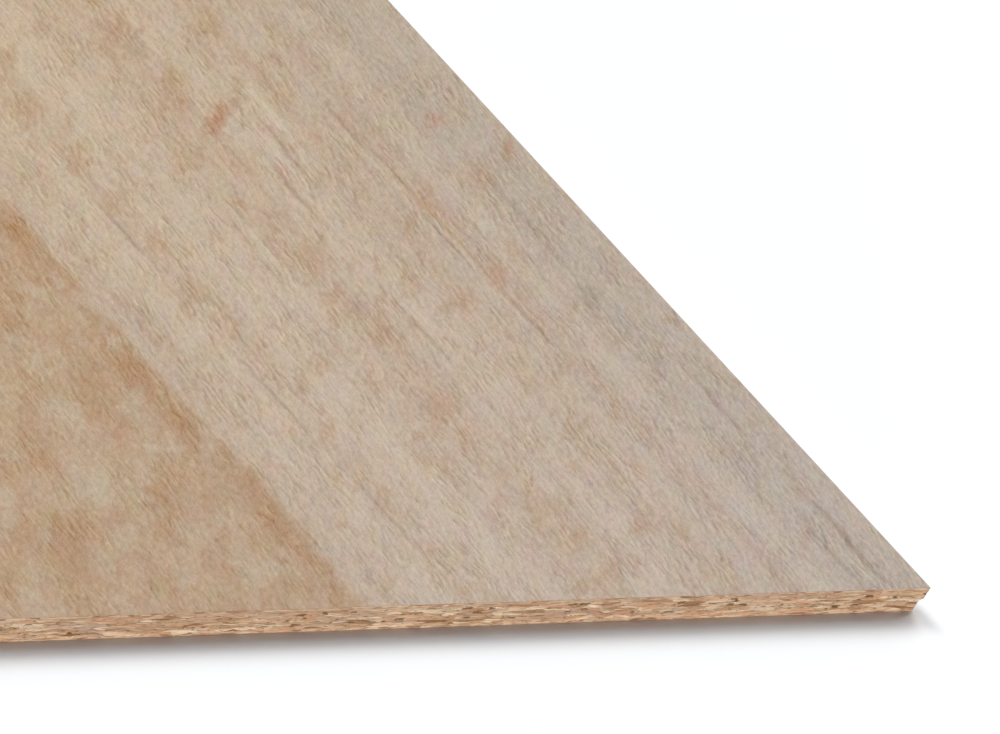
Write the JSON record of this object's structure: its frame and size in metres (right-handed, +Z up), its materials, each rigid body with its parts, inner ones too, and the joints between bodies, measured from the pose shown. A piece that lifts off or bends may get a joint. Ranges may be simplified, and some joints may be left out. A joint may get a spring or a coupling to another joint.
{
  "type": "melamine board",
  "caption": "Flat rectangular chipboard sheet with a pale wood-grain melamine face on each side, bare sawn edges and a broken lower corner.",
  "frame": {"origin": "middle of the underside, where the sheet rests on the floor", "axes": "+X across the sheet's width, +Y along its length and its printed grain, +Z up out of the upper face; the broken corner is at +X, -Y"},
  "size_m": [1.22, 2.44, 0.018],
  "materials": {
    "chipboard": "matte",
    "melamine_decor": "satin"
  },
  "bodies": {
    "root": {"chipboard_core": "chipboard", "melamine_face_top": "melamine_decor", "melamine_face_bottom": "melamine_decor"}
  },
  "joints": []
}
